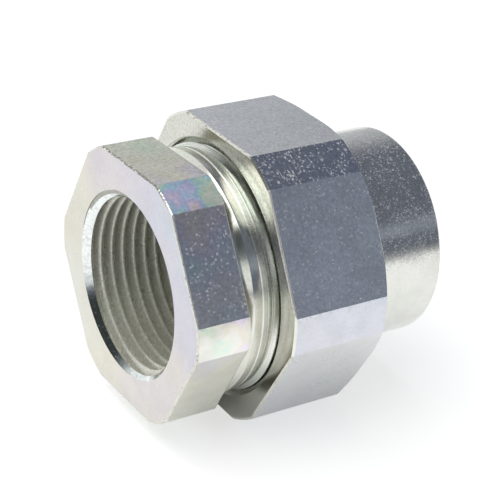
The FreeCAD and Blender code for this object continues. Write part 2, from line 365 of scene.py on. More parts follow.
def makePits():
    inputs = {"Vector": "Vector", "Scale": "Float", "Size": "Float", "Share": "Float"}
    group, given, made = startGroup("pits", inputs, {"Mask": "Float"})
    ragged = group.nodes.new("ShaderNodeTexNoise")
    feed(group, ragged.inputs["Vector"], given["Vector"])
    feed(group, ragged.inputs["Scale"],
         calc(group, "MULTIPLY", given["Scale"], pitForm["raggedFineness"]))
    moved = group.nodes.new("ShaderNodeVectorMath")
    moved.operation = "MULTIPLY_ADD"
    feed(group, moved.inputs[0], ragged.outputs["Color"])
    moved.inputs[1].default_value = pitForm["raggedness"]
    feed(group, moved.inputs[2], given["Vector"])
    cells = group.nodes.new("ShaderNodeTexVoronoi")
    feed(group, cells.inputs["Vector"], moved.outputs["Vector"])
    feed(group, cells.inputs["Scale"], given["Scale"])
    parts = group.nodes.new("ShaderNodeSeparateColor")
    feed(group, parts.inputs["Color"], cells.outputs["Color"])
    rest = calc(group, "SUBTRACT", 1.0, given["Share"])
    largest = calc(group, "MULTIPLY", given["Size"], given["Scale"])
    radius = spread(group, parts.outputs["Red"], rest, 1.0, 0.0, largest)
    foot = calc(group, "MULTIPLY", radius, pitForm["footShare"])
    spot = spread(group, cells.outputs["Distance"], radius, foot)
    weight = spread(group, parts.outputs["Green"], 0.0, 1.0, pitForm["faintest"], 1.0)
    feed(group, made["Mask"], calc(group, "MULTIPLY", spot, weight))
    return group


# Marks of a cutting tool round the axis. Lead is how far they run on in one turn.
def makeToolMarks():
    inputs = {"Vector": "Vector", "Lead": "Float", "Fineness": "Float"}
    outputs = {"Height": "Float", "Radius": "Float"}
    group, given, made = startGroup("toolMarks", inputs, outputs)
    x, y, z = splitVector(group, given["Vector"])
    squares = calc(group, "ADD", calc(group, "MULTIPLY", y, y), calc(group, "MULTIPLY", z, z))
    radius = calc(group, "SQRT", squares)
    turns = calc(group, "DIVIDE", calc(group, "ARCTAN2", z, y), 2 * math.pi)
    along = calc(group, "SUBTRACT", x, calc(group, "MULTIPLY", turns, given["Lead"]))
    cut = group.nodes.new("ShaderNodeCombineXYZ")
    feed(group, cut.inputs["X"], along)
    feed(group, cut.inputs["Y"], radius)
    feed(group, made["Height"], noise(group, cut.outputs["Vector"], given["Fineness"], 3.0))
    feed(group, made["Radius"], radius)
    return group


chromateFilm = makeFilm()
pits = makePits()
toolMarks = makeToolMarks()

# What every plated surface has unless its own entry says otherwise. Lengths are in
# millimetres, relief is in micrometres and scales in repeats to the millimetre. What
# ends in From is the range of place or noise over which a look changes.
platedLooks = {
    "tone": (0.80, 0.80, 0.77),
    "filmScale": 0.05,
    "filmSlope": (0.0, 0.0, 0.0),
    "filmShift": 0.0,
    "filmDrift": 1.0,
    "filmStrength": 0.15,
    "filmBelow": 1.0,
    "filmFrom": (-6.0, 8.0),
    "metallic": 1.0,
    "roughness": (0.16, 0.24),
    "roughFrom": (0.35, 0.65),
    "cloudScale": 0.22,
    "dullness": 0.06,
    "dullFrom": (0.42, 0.62),
    "mottle": 0.07,
    "mottleScale": 1.8,
    "mottleFrom": (0.3, 0.7),
    "waveScale": 0.7,
    "waveHeight": 3.0,
    "grainScale": 5.0,
    "grainHeight": 1.0,
    "pitScale": 1.6,
    "pitSize": 0.16,
    "pitShare": 0.3,
    "pitDepth": 12.0,
    "speckScale": 2.5,
    "speckSize": 0.12,
    "speckShare": 0.3,
    "speckAndGlintPaleness": 0.5,
    "speckAndGlintColour": (0.9, 0.9, 0.88, 1),
    "speckRoughness": 0.3,
    "specksFrom": (2.6, 3.8),
    "specksBelow": 0.12,
    "crowdScale": 0.35,
    "crowdFrom": (0.38, 0.62),
    "crowdLeast": 0.15,
    "spotScale": 1.1,
    "spotSize": 0.34,
    "spotShare": 0.0,
    "scratchScale": 3.0,
    "scratchSize": 0.14,
    "scratchShare": 0.0,
    "scratchLength": 10.0,
    "scratchTurn": (0, math.radians(29), math.radians(-80)),
    "grooveRadius": 0.0,
    "grooveShades": (0.60, 0.80),
    "grooveShadeFrom": (8.0, -10.0),
    "grooveDepthFrom": (-1.3, -0.9),
    "markHeight": 0.0,
    "markShade": 0.0,
    "markFrom": (0.35, 0.65),
    "markFineness": 8.0,
    "markLead": 0.0,
}


# A material with its shader, and the place and height of each point in millimetres.
def startMaterial(name):
    material = bpy.data.materials.new(name)
    material.use_nodes = True
    tree = material.node_tree
    scaled = tree.nodes.new("ShaderNodeVectorMath")
    scaled.operation = "SCALE"
    feed(tree, scaled.inputs[0], tree.nodes.new("ShaderNodeTexCoord").outputs["Object"])
    scaled.inputs["Scale"].default_value = 1 / mm
    place = scaled.outputs["Vector"]
    height = splitVector(tree, place)[2]
    return material, tree.nodes["Principled BSDF"], place, height


def addRelief(tree, shader, height):
    bump = tree.nodes.new("ShaderNodeBump")
    bump.inputs["Distance"].default_value = micrometre
    feed(tree, bump.inputs["Height"], height)
    feed(tree, shader.inputs["Normal"], bump.outputs["Normal"])


# Pale specks, larger spots and scratches, partly white marks on the plating and partly painted
# glints. There are few of them low on the piece.
def addSpecksAndGlints(tree, looks, place, upper):
    cloud = noise(tree, place, looks["crowdScale"], 3.0)
    crowd = spread(tree, cloud, *looks["crowdFrom"], looks["crowdLeast"], 1.0)
    specksAndGlints = placeGroup(tree, pits, {
        "Vector": place, "Scale": looks["speckScale"], "Size": looks["speckSize"],
        "Share": calc(tree, "MULTIPLY", crowd, looks["speckShare"])})["Mask"]
    if looks["spotShare"]:
        spots = placeGroup(tree, pits, {
            "Vector": place, "Scale": looks["spotScale"], "Size": looks["spotSize"],
            "Share": looks["spotShare"]})["Mask"]
        specksAndGlints = calc(tree, "MAXIMUM", specksAndGlints, spots)
    if looks["scratchShare"]:
        streaked = tree.nodes.new("ShaderNodeMapping")
        feed(tree, streaked.inputs["Vector"], place)
        streaked.vector_type = "TEXTURE"
        streaked.inputs["Rotation"].default_value = looks["scratchTurn"]
        streaked.inputs["Scale"].default_value = (looks["scratchLength"], 1.0, 1.0)
        scratches = placeGroup(tree, pits, {
            "Vector": streaked.outputs["Vector"], "Scale": looks["scratchScale"],
            "Size": looks["scratchSize"], "Share": looks["scratchShare"]})["Mask"]
        specksAndGlints = calc(tree, "MAXIMUM", specksAndGlints, scratches)
    return calc(tree, "MULTIPLY", specksAndGlints, upper)


def platedMaterial(name, **changes):
    looks = {**platedLooks, **changes}
    material, shader, place, z = startMaterial(name)
    tree = material.node_tree
    strength = spread(tree, z, *looks["filmFrom"],
                      looks["filmStrength"] * looks["filmBelow"], looks["filmStrength"])
    film = placeGroup(tree, chromateFilm, {
        "Vector": place, "Scale": looks["filmScale"], "Slope": looks["filmSlope"],
        "Shift": looks["filmShift"], "Drift": looks["filmDrift"],
        "Strength": strength})["Colour"]
    upper = spread(tree, z, *looks["specksFrom"], looks["specksBelow"], 1.0)
    specksAndGlints = addSpecksAndGlints(tree, looks, place, upper)

    # Stain darkens the colour: dull clouds, mottling and tool marks. A thread's grooves get
    # painted shade, deeper high on the bore than low on it.
    clouds = noise(tree, place, looks["cloudScale"], 4.0)
    stainAndShade = spread(tree, clouds, *looks["dullFrom"], 1.0, 1.0 - looks["dullness"])
    mottled = spread(tree, noise(tree, place, looks["mottleScale"], 3.0),
                     *looks["mottleFrom"], -looks["mottle"], looks["mottle"])
    mottled = calc(tree, "MULTIPLY_ADD", mottled, upper, 1.0)
    stainAndShade = calc(tree, "MULTIPLY", stainAndShade, mottled)
    if looks["markHeight"]:
        marks = placeGroup(tree, toolMarks, {
            "Vector": place, "Lead": looks["markLead"], "Fineness": looks["markFineness"]})
        lines = spread(tree, marks["Height"], *looks["markFrom"], 1.0 - looks["markShade"], 1.0)
        stainAndShade = calc(tree, "MULTIPLY", stainAndShade, lines)
    # Painted shade deep in a thread's grooves, darker high on the bore than low on it.
    if looks["grooveRadius"]:
        darkest = spread(tree, z, *looks["grooveShadeFrom"], *looks["grooveShades"])
        depth = calc(tree, "SUBTRACT", marks["Radius"], looks["grooveRadius"])
        paintedGrooveShade = spread(tree, depth, *looks["grooveDepthFrom"], 1.0, darkest)
        stainAndShade = calc(tree, "MULTIPLY", stainAndShade, paintedGrooveShade)
    toned = mixColour(tree, 1.0, film, (*looks["tone"], 1), "MULTIPLY")
    shade = tree.nodes.new("ShaderNodeCombineColor")
    for socket in shade.inputs:
        feed(tree, socket, stainAndShade)
    toned = mixColour(tree, 1.0, toned, shade.outputs["Color"], "MULTIPLY")
    # Specks are painted pale and less metallic: partly white marks, partly painted glints.
    pale = calc(tree, "MULTIPLY", specksAndGlints, looks["speckAndGlintPaleness"])
    feed(tree, shader.inputs["Base Color"], mixColour(tree, pale, toned, looks["speckAndGlintColour"]))
    feed(tree, shader.inputs["Metallic"], calc(tree, "SUBTRACT", looks["metallic"], pale))
    rough = spread(tree, clouds, *looks["roughFrom"], *looks["roughness"])
    rough = calc(tree, "MULTIPLY_ADD", specksAndGlints, looks["speckRoughness"], rough)
    feed(tree, shader.inputs["Roughness"], rough)

    waves = noise(tree, place, looks["waveScale"], 3.0)
    grain = noise(tree, place, looks["grainScale"], 2.0)
    hollows = placeGroup(tree, pits, {
        "Vector": place, "Scale": looks["pitScale"], "Size": looks["pitSize"],
        "Share": looks["pitShare"]})["Mask"]
    height = calc(tree, "MULTIPLY", waves, looks["waveHeight"])
    height = calc(tree, "MULTIPLY_ADD", grain, looks["grainHeight"], height)
    height = calc(tree, "MULTIPLY_ADD", hollows, -looks["pitDepth"], height)
    if looks["markHeight"]:
        height = calc(tree, "MULTIPLY_ADD", marks["Height"], looks["markHeight"], height)
    addRelief(tree, shader, height)
    return material


# Faces are painted by their place along the axis, their distance from it and their normal.
def paintFaces(piece, material, wanted):
    piece.data.materials.append(material)
    index = len(piece.data.materials) - 1
    for face in piece.data.polygons:
        x, y, z = face.center
        if wanted(x, math.hypot(y, z), face):
            face.material_index = index


def sidesOfHexagon(settings):
    for number in range(6):
        angle = settings["clocking"] + math.radians(60 * number + 30)
        yield Vector((0, math.cos(angle), math.sin(angle)))


def sideOfHexagon(face, settings):
    for side in sidesOfHexagon(settings):
        reach = settings["flats"] / 2 - side.dot(face.center)
        if side.dot(face.normal) > aligned and abs(reach) < hair:
            return True
    return False


def isSlanted(face):
    return slanted[0] < abs(face.normal.x) < slanted[1]


# The rounded edges at both ends of the flats.
def edgeOfHexagon(face, settings):
    if not isSlanted(face):
        return False
    for side in sidesOfHexagon(settings):
        reach = settings["flats"] / 2 - side.dot(face.center)
        if -hair < reach < settings["edgeRounding"]:
            if abs(side.dot(face.normal) ** 2 + face.normal.x ** 2 - 1) < 0.001:
                return True
    return False


# Knocked edges in bright and dark knocks: the bright ones partly burnished plating and partly
# painted highlight, the dark ones partly dirt and partly painted shade. Bright knocks crowd the
# lower edges and dark knocks the upper edges.
edgeWearAndHighlightLooks = {
    "light": (1.0, 0.97, 0.88, 1),
    "dark": (0.30, 0.29, 0.25, 1),
    "brightCut": 0.38,
    "darkCut": 0.58,
    "softness": 0.07,
    "metallic": 0.55,
    "roughness": (0.5, 0.24),
    "scale": 3.4,
    "height": 40.0,
}


def edgeWearAndHighlightMaterial(name, highlightBelow, shadeAbove):
    looks = edgeWearAndHighlightLooks
    material, shader, place, z = startMaterial(name)
    tree = material.node_tree
    knocks = noise(tree, place, looks["scale"], 3.0)
    # Painted highlight and painted shade: the bright knocks crowd low on the piece and the dark
    # ones high on it.
    middle = spread(tree, z, highlightBelow, shadeAbove, looks["brightCut"], looks["darkCut"])
    bright = spread(tree, calc(tree, "SUBTRACT", knocks, middle),
                    -looks["softness"], looks["softness"])
    feed(tree, shader.inputs["Base Color"], mixColour(tree, bright, looks["dark"], looks["light"]))
    shader.inputs["Metallic"].default_value = looks["metallic"]
    feed(tree, shader.inputs["Roughness"], spread(tree, bright, 0.0, 1.0, *looks["roughness"]))
    addRelief(tree, shader, calc(tree, "MULTIPLY", knocks, looks["height"]))
    return material


# Thread forms. Both halves of the union thread stand in the same phase.
conduitThread = {
    "pitch": 2.2087 * mm,
    "rootRadius": 15.2 * mm,
    "crestRadius": 16.63 * mm,
    "crestFlat": 0.26 * mm,
    "rounding": 0.06 * mm,
}
unionThread = {
    "pitch": 1.5875 * mm,
    "majorRadius": 22.1 * mm,
    "maleMinorRadius": 21.14 * mm,
    "femaleMinorRadius": 21.24 * mm,
    "crestFlat": 0.198 * mm,
    "rounding": 0.04 * mm,
    "clearance": 0.08 * mm,
    "phaseX": hexEndX + 16.2 * mm,
}
threadSteps = 144
belowPiece = (-20.0, -19.0)  # heights in millimetres

# The threaded bore at each end of the conduit, as distances in from its mouth. It is
# drilled a little small, and the tap brings it to size.
conduitBore = {
    "firstCrest": 0.4 * mm,
    "undersize": 0.2 * mm,
    "drillLength": 19.3 * mm,
    "drillPointRadius": 14.5 * mm,
    "throat": 20.5 * mm,
    "throatRadius": 13.3 * mm,
    "throatChamfer": 0.4 * mm,
    "tapLength": 19.5 * mm,
    "tapOverrun": 2 * mm,
    "leadOverrun": 3 * mm,
    "leadTaper": 4.2 * mm,
    "leadPoint": 0.6 * mm,
    "leadFlare": 0.4 * mm,
    "leadClearance": 0.05 * mm,
    "paintedLength": 19.4 * mm,
    "chamferLength": 1.7 * mm,
    "chamferBand": 0.05 * mm,
    "chamferFacing": 0.65,
    "looks": {
        "inside": {"tone": (0.62, 0.62, 0.56), "roughness": (0.3, 0.4), "filmStrength": 0.1,
                   "markHeight": 3.0},
        "thread": {"tone": (1.0, 1.0, 0.90), "metallic": 0.40, "roughness": (0.26, 0.36),
                   "grooveRadius": conduitThread["crestRadius"] / mm, "specksFrom": belowPiece,
                   "filmStrength": 0.12, "filmScale": 0.12, "markHeight": 20.0,
                   "markShade": 0.12, "markFineness": 4.0,
                   "markLead": conduitThread["pitch"] / mm, "pitShare": 0.0, "mottle": 0.14,
                   "speckShare": 0.6, "speckAndGlintPaleness": 0.7},
        "mouth": {"tone": (0.80, 0.84, 0.84), "roughness": (0.10, 0.18), "filmStrength": 0.1,
                  "markHeight": 4.0, "pitShare": 0.6, "mottle": 0.18, "speckShare": 0.8,
                  "speckAndGlintPaleness": 0.8, "specksFrom": belowPiece},
    },
}
insideZinc = platedMaterial("insideZinc", **conduitBore["looks"]["inside"])
threadZinc = platedMaterial("threadZinc", **conduitBore["looks"]["thread"])
mouthZinc = platedMaterial("mouthZinc", **conduitBore["looks"]["mouth"])

# Heights in millimetres between which a worn edge turns from mostly painted highlight to mostly
# painted shade.
hexEdgeWearAndHighlight = edgeWearAndHighlightMaterial("hexEdgeWearAndHighlight", highlightBelow=20.5, shadeAbove=22.3)
nutEdgeWearAndHighlight = edgeWearAndHighlightMaterial("nutEdgeWearAndHighlight", highlightBelow=25.0, shadeAbove=26.6)
print("materials ready")


# The tap is a threaded rod turned down to its lead, which fades the last threads out.
def conduitTap(name, mouthX, inward):
    bore = conduitBore
    length = bore["tapLength"]
    thread = dict(conduitThread, phaseX=mouthX + bore["firstCrest"])
    ends = sorted((mouthX - inward * bore["tapOverrun"], mouthX + inward * length))
    tap = threadedRod(name, thread, *ends, threadSteps)
    crest = conduitThread["crestRadius"]
    drilled = conduitThread["rootRadius"] - bore["undersize"]
    lead = [
        (mouthX - inward * bore["leadOverrun"], crest + bore["leadFlare"]),
        (mouthX + inward * (length - bore["leadTaper"]), crest + bore["leadClearance"]),
        (mouthX + inward * (length + bore["leadPoint"]), drilled),
    ]
    combine(tap, turnRod(name + "Lead", lead, threadSteps), "INTERSECT")
    return tap


def boreCorners(mouthX, inward):
    bore = conduitBore
    crest = conduitThread["crestRadius"]
    drilled = conduitThread["rootRadius"] - bore["undersize"]
    return [
        (mouthX, crest),
        (mouthX + inward * (crest - drilled), drilled),
        (mouthX + inward * bore["drillLength"], drilled),
        (mouthX + inward * bore["drillLength"], bore["drillPointRadius"]),
        (mouthX + inward * bore["throat"], bore["throatRadius"]),
    ]


# The throat's other end, chamfered where it opens in a joint face.
def throatCorners(faceX, inward):
    bore = conduitBore
    return [
        (faceX, bore["throatRadius"] + bore["throatChamfer"]),
        (faceX + inward * bore["throatChamfer"], bore["throatRadius"]),
    ]


def paintBore(piece, mouthX, inward):
    bore = conduitBore
    crest = conduitThread["crestRadius"]

    def isThread(x, radius, face):
        return radius < crest + margin and inward * (x - mouthX) < bore["paintedLength"]

    def isChamfer(x, radius, face):
        depth = inward * (x - mouthX)
        return (radius < crest and -inward * face.normal.x > bore["chamferFacing"]
                and depth < bore["chamferLength"]
                and abs(crest - radius - depth) < bore["chamferBand"])

    piece.data.materials.clear()
    paintFaces(piece, insideZinc, lambda x, radius, face: True)
    paintFaces(piece, threadZinc, isThread)
    paintFaces(piece, mouthZinc, isChamfer)


# The hexagonal half, as distances from its end face. The collar's section is given in
# millimetres, with its depth under the collar's radius.
hexBodySettings = {
    "steps": 228,
    "flats": 44.45 * mm - 2 * skin,
    "cornerRadius": 24.1 * mm - 2 * skin,
    "length": 9.95 * mm,
    "clocking": math.radians(-1.81),
    "edgeBreak": 0.32 * mm,
    "wearRadius": 18 * mm,
    "rearBreak": 0.06 * mm,
    "edgeRounding": 0.30 * mm,
    "cutterOverrun": 0.2 * mm,
    "neckRadius": 21.0 * mm - skin,
    "neckEnd": 10.95 * mm,
    "collarRadius": 21.8 * mm - skin,
    "collar": [(11.98, 0.06), (12.08, 0.01), (12.2, 0.0), (13.62, 0.09), (13.64, 0.11),
               (13.82, 0.26), (14.0, 0.14), (14.02, 0.12), (14.88, 0.17), (14.96, 0.21)],
    "grooveStart": 13.63 * mm,
    "runoutRadius": 21.45 * mm - skin,
    "runoutStart": 15.16 * mm,
    "runoutEnd": 15.63 * mm,
    "threadStart": 15.95 * mm,
    "threadBreak": 0.05 * mm,
    "threadLead": 1.4 * mm,
    "crestsAbove": 0.1 * mm,
    "rodStart": 13 * mm,
    "dieStart": 15.4 * mm,
    "dieOverrun": 1.5 * mm,
    "dieRadii": (20.5 * mm, 25 * mm),
    "looks": {
        "endFace": {"tone": (0.71, 0.72, 0.69), "roughness": (0.22, 0.30),
                    "filmStrength": 0.4, "filmScale": 0.07, "filmSlope": (0.0, -0.008, 0.005),
                    "filmShift": 0.27, "filmDrift": 0.5, "waveHeight": 2.0, "dullness": 0.03,
                    "mottle": 0.03, "speckShare": 0.12, "speckAndGlintPaleness": 0.3},
        "flat": {"tone": (0.82, 0.83, 0.76), "roughness": (0.30, 0.40), "filmStrength": 0.45,
                 "filmBelow": 0.5, "filmFrom": (5.0, 12.0), "filmScale": 0.12,
                 "filmSlope": (0.0, -0.022, 0.012), "filmShift": -0.146, "filmDrift": 0.9,
                 "grainHeight": 6.0, "mottle": 0.16, "speckScale": 2.1, "speckShare": 1.0,
                 "speckSize": 0.32, "speckAndGlintPaleness": 0.8},
        "strip": {"tone": (0.98, 0.98, 0.98), "roughness": (0.40, 0.52),
                  "filmStrength": 0.75, "filmBelow": 0.3, "filmScale": 0.16,
                  "filmSlope": (0.0, 0.0, 0.028), "filmShift": 0.02, "filmDrift": 2.4,
                  "grainHeight": 5.0, "mottle": 0.12, "speckScale": 1.9, "speckShare": 0.7,
                  "speckSize": 0.26, "speckAndGlintPaleness": 0.8, "spotShare": 0.15},
        "neck": {"tone": (0.84, 0.84, 0.80), "roughness": (0.15, 0.22), "filmStrength": 0.3,
                 "filmScale": 0.14, "filmShift": 0.98, "filmDrift": 0.9, "markHeight": 2.0,
                 "markShade": 0.08, "speckShare": 0.1},
        "unionThread": {"tone": (0.92, 0.93, 0.89), "roughness": (0.20, 0.30),
                        "filmStrength": 0.15, "filmShift": 0.9, "markHeight": 8.0,
                        "markShade": 0.25, "mottle": 0.06},
        "rear": {"tone": (0.42, 0.42, 0.34), "roughness": (0.4, 0.5), "filmStrength": 0.1},
    },
}


def paintHexBody(piece):
    settings = hexBodySettings
    looks = settings["looks"]
    rearX = hexEndX + settings["length"]
    grooveX = hexEndX + settings["grooveStart"]
    corner = settings["cornerRadius"]
    neckRadius = settings["neckRadius"] - 5 * margin
    paintBore(piece, hexEndX, 1)
    paintFaces(piece, platedMaterial("hexNeckZinc", **looks["neck"]),
               lambda x, radius, face: radius > neckRadius and x > rearX + hair)
    paintFaces(piece, platedMaterial("unionThreadZinc", **looks["unionThread"]),
               lambda x, radius, face: radius > neckRadius and x > grooveX)
    paintFaces(piece, platedMaterial("hexRearZinc", **looks["rear"]),
               lambda x, radius, face: face.normal.x > aligned and abs(x - rearX) < hair)
    paintFaces(piece, platedMaterial("hexEndZinc", **looks["endFace"]),
               lambda x, radius, face: face.normal.x < -aligned and x < hexEndX + hair)
    paintFaces(piece, platedMaterial("hexStripZinc", **looks["strip"]),
               lambda x, radius, face: radius > corner - margin and not isSlanted(face))
    paintFaces(piece, hexEdgeWearAndHighlight, lambda x, radius, face: x < hexEndX + settings["edgeBreak"]
               and radius > settings["wearRadius"] and isSlanted(face))
    paintFaces(piece, platedMaterial("hexFlatZinc", **looks["flat"]),
               lambda x, radius, face: sideOfHexagon(face, settings))
    paintFaces(piece, hexEdgeWearAndHighlight, lambda x, radius, face: edgeOfHexagon(face, settings))


# The rod's crests stand above the blank, so that the blank's own surface is left on them.
def cutUnionThread(piece):
    settings = hexBodySettings
    above = settings["crestsAbove"]
    male = dict(unionThread, crestRadius=unionThread["majorRadius"] + above,
                rootRadius=unionThread["maleMinorRadius"],
                crestFlat=unionThread["crestFlat"] - 2 * above * flankSlope,
                rounding=unionThread["rounding"] / 2)
    rod = threadedRod("unionRod", male, hexEndX + settings["rodStart"],
                      jointFaceX + 2 * settings["dieOverrun"], threadSteps)
    startX = hexEndX + settings["dieStart"]
    endX = jointFaceX + settings["dieOverrun"]
    inner, outer = settings["dieRadii"]
    section = [(startX, inner), (startX, outer), (endX, outer), (endX, inner)]
    die = turnBlank("unionDie", section, threadSteps)
    combine(die, rod, "DIFFERENCE")
    combine(piece, die, "DIFFERENCE")


def makeHexBody():
    settings = hexBodySettings
    corner = settings["cornerRadius"]
    major = unionThread["majorRadius"]
    edgeBreak, rearBreak = settings["edgeBreak"], settings["rearBreak"]
    rearX = hexEndX + settings["length"]
    threadX = hexEndX + settings["threadStart"]
    corners = [
        (hexEndX, corner - edgeBreak),
        (hexEndX + edgeKnee * edgeBreak, corner - edgeKnee * edgeBreak),
        (hexEndX + edgeBreak, corner),
        (rearX - rearBreak, corner),
        (rearX, corner - rearBreak),
        (rearX, settings["neckRadius"]),
        (hexEndX + settings["neckEnd"], settings["neckRadius"]),
    ]
    for station, depth in settings["collar"]:
        corners.append((hexEndX + station * mm, settings["collarRadius"] - depth * mm))
    corners += [
        (hexEndX + settings["runoutStart"], settings["runoutRadius"]),
        (hexEndX + settings["runoutEnd"], settings["runoutRadius"]),
        (threadX - settings["threadBreak"], major - settings["threadBreak"]),
        (threadX, major),
        (jointFaceX - settings["threadLead"], major),
        (jointFaceX, major - settings["threadLead"]),
    ]
    corners += throatCorners(jointFaceX, -1) + boreCorners(hexEndX, 1)[::-1]
    piece = turnBlank("hexBodyPiece", corners, settings["steps"], settings["clocking"])
    cutter = hexCutter("hexBodyFlats", settings, hexEndX, rearX, settings["cutterOverrun"], 0.0)
    combine(piece, cutter, "DIFFERENCE")
    cutUnionThread(piece)
    combine(piece, conduitTap("hexBodyTap", hexEndX, 1), "DIFFERENCE")
    paintHexBody(piece)
    return piece


# The round sleeve
sleeveSettings = {
    "steps": 228,
    "radius": 19.05 * mm,
    "edgeBreak": 0.25 * mm,
    "flangeRadius": 21.0 * mm - hair,
    "flangeThickness": 4.1 * mm,
    "flangeBreak": 0.1 * mm,
    "flangeFillet": 0.5 * mm,
    "filletSteps": 4,
    "looks": {
        "outside": {"tone": (0.79, 0.79, 0.76), "roughness": (0.14, 0.22),
                    "filmStrength": 0.12, "filmShift": 0.95, "filmDrift": 0.6,
                    "grainHeight": 7.0, "waveHeight": 12.0, "speckScale": 3.6,
                    "speckShare": 1.0, "speckSize": 0.21, "speckAndGlintPaleness": 1.0,
                    "mottle": 0.24, "mottleScale": 3.0},
        "endFace": {"tone": (0.82, 0.82, 0.78), "roughness": (0.2, 0.3),
                    "filmStrength": 0.2, "filmShift": 0.4},
    },
}


def paintSleeve(piece):
    settings = sleeveSettings
    looks = settings["looks"]
    radiusOutside, edgeBreak = settings["radius"], settings["edgeBreak"]
    edgeX = sleeveEndX - edgeBreak
    paintBore(piece, sleeveEndX, -1)
    paintFaces(piece, platedMaterial("sleeveZinc", **looks["outside"]),
               lambda x, radius, face: radius > radiusOutside - 2 * hair and x < edgeX)
    paintFaces(piece, hexEdgeWearAndHighlight, lambda x, radius, face: radius > radiusOutside - edgeBreak
               and x > edgeX and isSlanted(face))
    paintFaces(piece, platedMaterial("sleeveEndZinc", **looks["endFace"]),
               lambda x, radius, face: face.normal.x > aligned and x > sleeveEndX - hair)


def makeSleeve():
    settings = sleeveSettings
    radius, edgeBreak = settings["radius"], settings["edgeBreak"]
    flangeRadius, flangeBreak = settings["flangeRadius"], settings["flangeBreak"]
    fillet, filletSteps = settings["flangeFillet"], settings["filletSteps"]
    flangeBack = sleeveFrontX + settings["flangeThickness"]
    joint, throat = throatCorners(sleeveFrontX, 1)
    corners = [
        joint,
        (sleeveFrontX, flangeRadius - flangeBreak),
        (sleeveFrontX + flangeBreak, flangeRadius),
        (flangeBack - flangeBreak, flangeRadius),
        (flangeBack, flangeRadius - flangeBreak),
    ]
    for step in range(filletSteps + 1):
        angle = math.radians(90 * step / filletSteps)
        corners.append((flangeBack + fillet * (1 - math.cos(angle)),
                        radius + fillet * (1 - math.sin(angle))))
    corners += [
        (sleeveEndX - edgeBreak, radius),
        (sleeveEndX - edgeKnee * edgeBreak, radius - edgeKnee * edgeBreak),
        (sleeveEndX, radius - edgeBreak),
    ]
    corners += boreCorners(sleeveEndX, -1) + [throat]
    piece = turnBlank("sleevePiece", corners, settings["steps"])
    combine(piece, conduitTap("sleeveTap", sleeveEndX, -1), "DIFFERENCE")
    paintSleeve(piece)
    return piece


# The union nut
nutSettings = {
    "steps": 228,
    "flats": 50.8 * mm - 2 * skin,
    "cornerRadius": 27.55 * mm - 2 * skin,
    "clocking": 0.0,
    "frontChamfer": 0.45 * mm,
    "backChamfer": 2.2 * mm,
    "chamferSlope": math.tan(math.radians(30)),
    "chamferFacing": (0.8, 0.9),
    "edgeRounding": 0.34 * mm,
    "cutterOverrun": 0.2 * mm,
    "mouthRadius": 23.1 * mm,
    "paintedMouth": 1.5 * mm,
    "mouthSlope": math.tan(math.radians(35)),
    "undersize": 0.2 * mm,
    "threadLength": 10.0 * mm,
    "tapOverrun": 2 * mm,
    "pocketRadius": 22.6 * mm,
    "wall": 4.8 * mm,
    "boreRadius": 19.13 * mm,
    "boreChamfer": 0.8 * mm,
    "boreBreak": 0.15 * mm,
    "looks": {
        "face": {"tone": (0.64, 0.64, 0.61), "roughness": (0.13, 0.20), "filmStrength": 0.3,
                 "filmShift": 0.02, "filmDrift": 0.5, "grainHeight": 8.0, "markHeight": 3.0,
                 "mottle": 0.12, "speckShare": 0.6},
        "flat": {"tone": (0.78, 0.795, 0.785), "roughness": (0.20, 0.28),
                 "filmStrength": 0.05, "filmShift": 0.5, "grainHeight": 3.0,
                 "waveHeight": 3.0, "dullness": 0.03, "mottle": 0.14, "speckScale": 2.1,
                 "speckShare": 0.9, "speckSize": 0.30, "speckAndGlintPaleness": 0.55},
        "strip": {"tone": (0.70, 0.72, 0.76), "roughness": (0.15, 0.22),
                  "filmStrength": 0.12, "filmShift": 0.45, "filmDrift": 0.8,
                  "grainHeight": 6.0, "speckScale": 2.4, "speckSize": 0.30,
                  "speckShare": 1.0, "speckAndGlintPaleness": 1.0, "mottle": 0.16,
                  "spotShare": 0.3, "scratchShare": 0.5},
        "chamfer": {"tone": (0.86, 0.85, 0.80), "roughness": (0.2, 0.3),
                    "filmStrength": 0.15, "filmShift": 0.95},
    },
}


def paintNut(piece):
    settings = nutSettings
    looks = settings["looks"]
    corner = settings["cornerRadius"]
    mouthX = nutFrontX + settings["paintedMouth"]
    chamferRadius = corner - settings["backChamfer"] - margin
    least, most = settings["chamferFacing"]
    piece.data.materials.clear()
    paintFaces(piece, insideZinc, lambda x, radius, face: True)
    paintFaces(piece, platedMaterial("nutFaceZinc", **looks["face"]),
               lambda x, radius, face: abs(face.normal.x) > least and x < mouthX
               or face.normal.x > aligned and x > nutBackX - hair)
    paintFaces(piece, platedMaterial("nutStripZinc", **looks["strip"]),
               lambda x, radius, face: radius > corner - margin)
    paintFaces(piece, platedMaterial("nutChamferZinc", **looks["chamfer"]),
               lambda x, radius, face: radius > chamferRadius
               and least < abs(face.normal.x) < most)
    paintFaces(piece, platedMaterial("nutFlatZinc", **looks["flat"]),
               lambda x, radius, face: sideOfHexagon(face, settings))
    paintFaces(piece, nutEdgeWearAndHighlight, lambda x, radius, face: edgeOfHexagon(face, settings))


